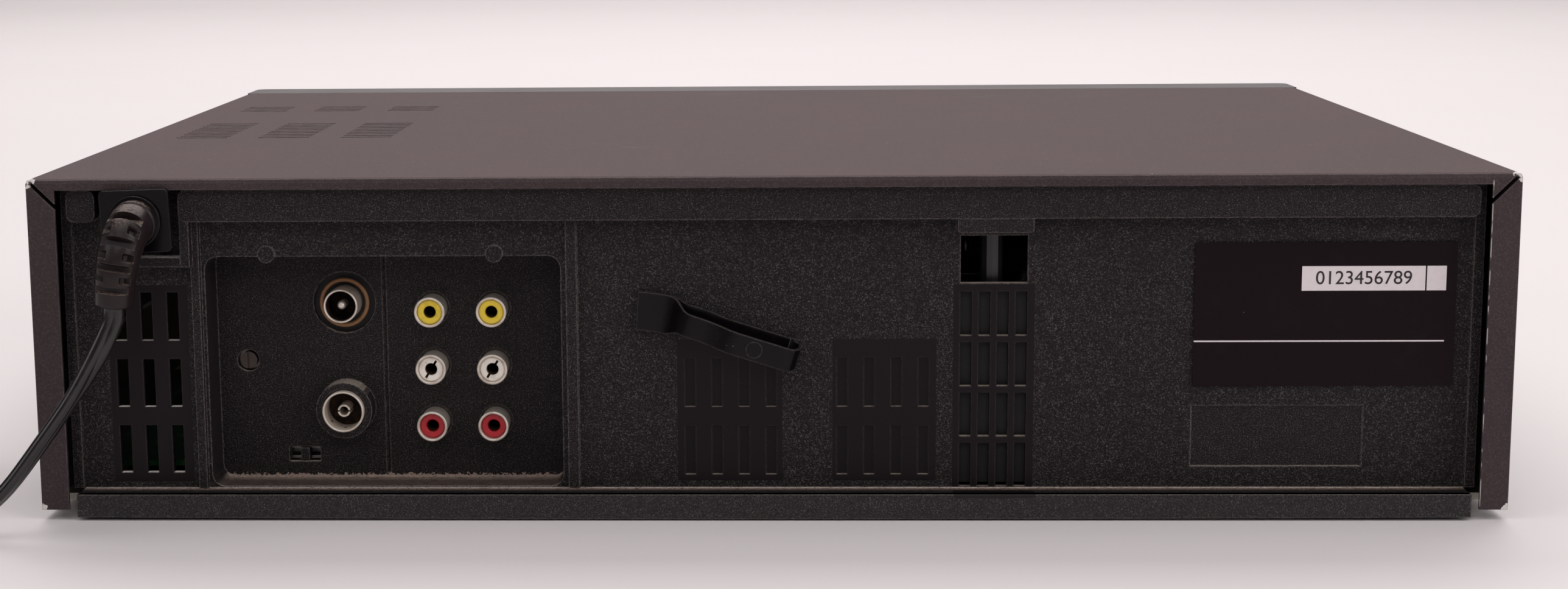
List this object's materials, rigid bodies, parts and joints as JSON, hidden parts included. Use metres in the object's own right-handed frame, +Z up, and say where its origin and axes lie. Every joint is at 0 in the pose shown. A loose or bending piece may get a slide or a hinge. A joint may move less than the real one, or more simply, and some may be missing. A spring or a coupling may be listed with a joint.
{
  "type": "video cassette recorder",
  "caption": "Front-loading video cassette recorder with a dark steel cover, rear connector bay, tape deck and mains cord.",
  "frame": {"origin": "on the table under the middle of the case, between the four feet", "axes": "+X towards the side where the mains cord leaves, +Y towards the rear panel, +Z up; the cassette door faces -Y"},
  "size_m": [0.5382, 0.3317, 0.0943],
  "materials": {
    "cover_paint": "fine-grained dark paint",
    "chassis_steel": "plain coated sheet",
    "rear_plastic": "fine moulded grain",
    "front_plastic": "satin",
    "smoked_window": "polished, smoked",
    "foot_rubber": "matt",
    "screw_steel": "bright",
    "label_film": "glossy film",
    "strap_plastic": "soft gloss",
    "cord_rubber": "smooth",
    "contact_brass": "bright",
    "tinned_steel": "tinned",
    "nickel_plate": "nickel plated",
    "yellow_plastic": "satin",
    "white_plastic": "satin",
    "red_plastic": "satin",
    "button_plastic": "satin",
    "circuit_board": "lacquered board",
    "supply_board": "brown board",
    "deck_steel": "zinc plated",
    "drum_aluminium": "turned"
  },
  "bodies": {
    "case": {"top_cover": "cover_paint", "bottom_chassis": "chassis_steel", "rear_panel": "rear_plastic", "front_panel": "front_plastic", "display_window": "smoked_window", "foot_left_front": "foot_rubber", "foot_left_rear": "foot_rubber", "foot_right_front": "foot_rubber", "foot_right_rear": "foot_rubber", "cover_screw_left_front": "screw_steel", "cover_screw_left_rear": "screw_steel", "cover_screw_right_front": "screw_steel", "cover_screw_right_rear": "screw_steel", "rating_label": "label_film", "cable_strap": "strap_plastic", "strain_relief": "strap_plastic", "mains_cord": "cord_rubber", "cord_coil": "cord_rubber", "mains_plug": "cord_rubber", "plug_pins": "contact_brass", "rf_modulator": "tinned_steel", "rf_out_shell": "nickel_plate", "rf_out_pin": "nickel_plate", "rf_in_shell": "nickel_plate", "rf_in_contact": "nickel_plate", "jack_block": "rear_plastic", "jack_shell_yellow_left": "nickel_plate", "jack_shell_yellow_right": "nickel_plate", "jack_shell_white_left": "nickel_plate", "jack_shell_white_right": "nickel_plate", "jack_shell_red_left": "nickel_plate", "jack_shell_red_right": "nickel_plate", "jack_insert_yellow": "yellow_plastic", "jack_insert_white": "white_plastic", "jack_insert_red": "red_plastic", "front_board": "circuit_board", "main_board": "circuit_board", "power_supply": "supply_board", "mech_deck": "deck_steel", "lower_drum": "drum_aluminium"},
    "door": {"cassette_door": "front_plastic"},
    "carrier": {"basket_carrier": "deck_steel"},
    "basket": {"cassette_basket": "deck_steel"},
    "head_drum": {"upper_drum": "drum_aluminium"},
    "capstan": {"capstan": "screw_steel"},
    "supply_table": {"supply_reel": "white_plastic"},
    "takeup_table": {"takeup_reel": "white_plastic"},
    "pinch_lever": {"pinch_arm": "deck_steel"},
    "pinch_wheel": {"pinch_roller": "foot_rubber"},
    "supply_post": {"supply_guide": "white_plastic"},
    "takeup_post": {"takeup_guide": "white_plastic"},
    "power_key": {"power_button": "button_plastic"},
    "eject_key": {"eject_button": "button_plastic"},
    "rewind_key": {"rewind_button": "button_plastic"},
    "play_key": {"play_button": "button_plastic"},
    "forward_key": {"forward_button": "button_plastic"},
    "stop_key": {"stop_button": "button_plastic"},
    "record_key": {"record_button": "button_plastic"},
    "select_switch": {"rf_select_knob": "rear_plastic"},
    "channel_screw": {"channel_adjuster": "contact_brass"}
  },
  "joints": [
    {"name": "cassette_door_swing", "type": "hinge", "parent": "case", "child": "door", "pos_m": [-0.06, -0.1519, 0.0803], "axis": [1, 0, 0], "range_deg": [0, 88], "stiffness_Nm_per_rad": 0.01},
    {"name": "basket_in", "type": "slide", "parent": "case", "child": "carrier", "axis": [0, 1, 0], "range_m": [0, 0.052]},
    {"name": "basket_drop", "type": "slide", "parent": "carrier", "child": "basket", "axis": [0, 0, -1], "range_m": [0, 0.017]},
    {"name": "head_drum_spin", "type": "hinge", "parent": "case", "child": "head_drum", "pos_m": [-0.06, 0.0626, 0.0329], "axis": [0, 0.104, 0.9946], "continuous": true},
    {"name": "capstan_spin", "type": "hinge", "parent": "case", "child": "capstan", "pos_m": [-0.002, 0.0356, 0.0266], "axis": [0, 0, 1], "continuous": true},
    {"name": "supply_reel_spin", "type": "hinge", "parent": "case", "child": "supply_table", "pos_m": [-0.1055, -0.0444, 0.0266], "axis": [0, 0, 1], "continuous": true},
    {"name": "takeup_reel_spin", "type": "hinge", "parent": "case", "child": "takeup_table", "pos_m": [-0.0145, -0.0444, 0.0266], "axis": [0, 0, 1], "continuous": true},
    {"name": "pinch_arm_swing", "type": "hinge", "parent": "case", "child": "pinch_lever", "pos_m": [0.0276, 0.0316, 0.0266], "axis": [0, 0, -1], "range_deg": [0, 32]},
    {"name": "pinch_roller_spin", "type": "hinge", "parent": "pinch_lever", "child": "pinch_wheel", "pos_m": [0.00756, 0.02251, 0.0266], "axis": [0, 0, 1], "continuous": true},
    {"name": "supply_guide_travel", "type": "slide", "parent": "case", "child": "supply_post", "axis": [-0.1339, 0.991, 0], "range_m": [0, 0.0746]},
    {"name": "takeup_guide_travel", "type": "slide", "parent": "case", "child": "takeup_post", "axis": [0.1339, 0.991, 0], "range_m": [0, 0.0746]},
    {"name": "power_press", "type": "slide", "parent": "case", "child": "power_key", "axis": [0, 1, 0], "range_m": [0, 0.001], "stiffness_N_per_m": 400},
    {"name": "eject_press", "type": "slide", "parent": "case", "child": "eject_key", "axis": [0, 1, 0], "range_m": [0, 0.001], "stiffness_N_per_m": 400},
    {"name": "rewind_press", "type": "slide", "parent": "case", "child": "rewind_key", "axis": [0, 1, 0], "range_m": [0, 0.001], "stiffness_N_per_m": 400},
    {"name": "play_press", "type": "slide", "parent": "case", "child": "play_key", "axis": [0, 1, 0], "range_m": [0, 0.001], "stiffness_N_per_m": 400},
    {"name": "forward_press", "type": "slide", "parent": "case", "child": "forward_key", "axis": [0, 1, 0], "range_m": [0, 0.001], "stiffness_N_per_m": 400},
    {"name": "stop_press", "type": "slide", "parent": "case", "child": "stop_key", "axis": [0, 1, 0], "range_m": [0, 0.001], "stiffness_N_per_m": 400},
    {"name": "record_press", "type": "slide", "parent": "case", "child": "record_key", "axis": [0, 1, 0], "range_m": [0, 0.001], "stiffness_N_per_m": 400},
    {"name": "aerial_switch_slide", "type": "slide", "parent": "case", "child": "select_switch", "axis": [1, 0, 0], "range_m": [-0.0028, 0.0028]},
    {"name": "channel_screw_turn", "type": "hinge", "parent": "case", "child": "channel_screw", "pos_m": [0.1456, 0.1321, 0.0406], "axis": [0, 1, 0], "range_deg": [-135, 135]}
  ],
  "couplings": [
    {"joint": "takeup_guide_travel", "follows": "supply_guide_travel", "ratio": 1}
  ]
}
